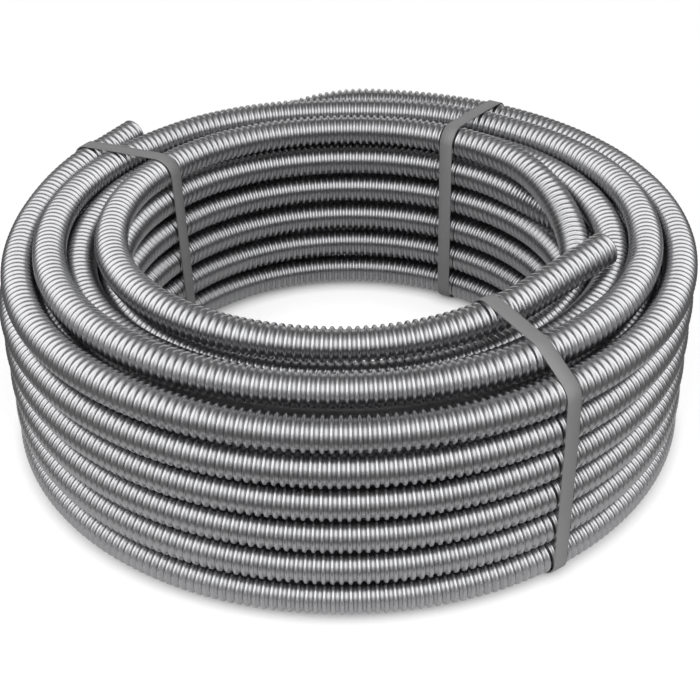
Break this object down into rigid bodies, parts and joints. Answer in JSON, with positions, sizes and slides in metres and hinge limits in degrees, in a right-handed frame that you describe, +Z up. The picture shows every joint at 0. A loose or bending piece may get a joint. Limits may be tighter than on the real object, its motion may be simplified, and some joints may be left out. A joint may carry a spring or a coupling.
{
  "type": "flexible metal conduit coil",
  "caption": "Coil of flexible metal conduit, wound in nested columns of turns, with two open cut ends and flat plastic binding straps.",
  "frame": {"origin": "on the coil's axis, at the level of the floor that the straps rest on", "axes": "+Z up along the coil's axis, -Y towards the side that the picture looks from, +X to that view's right"},
  "size_m": [0.4163, 0.4167, 0.1445],
  "materials": {
    "steel_strip": "bright galvanised",
    "strap": "matte"
  },
  "bodies": {
    "root": {"conduit": "steel_strip", "strap_left": "strap", "strap_back": "strap", "strap_front": "strap"}
  },
  "joints": []
}
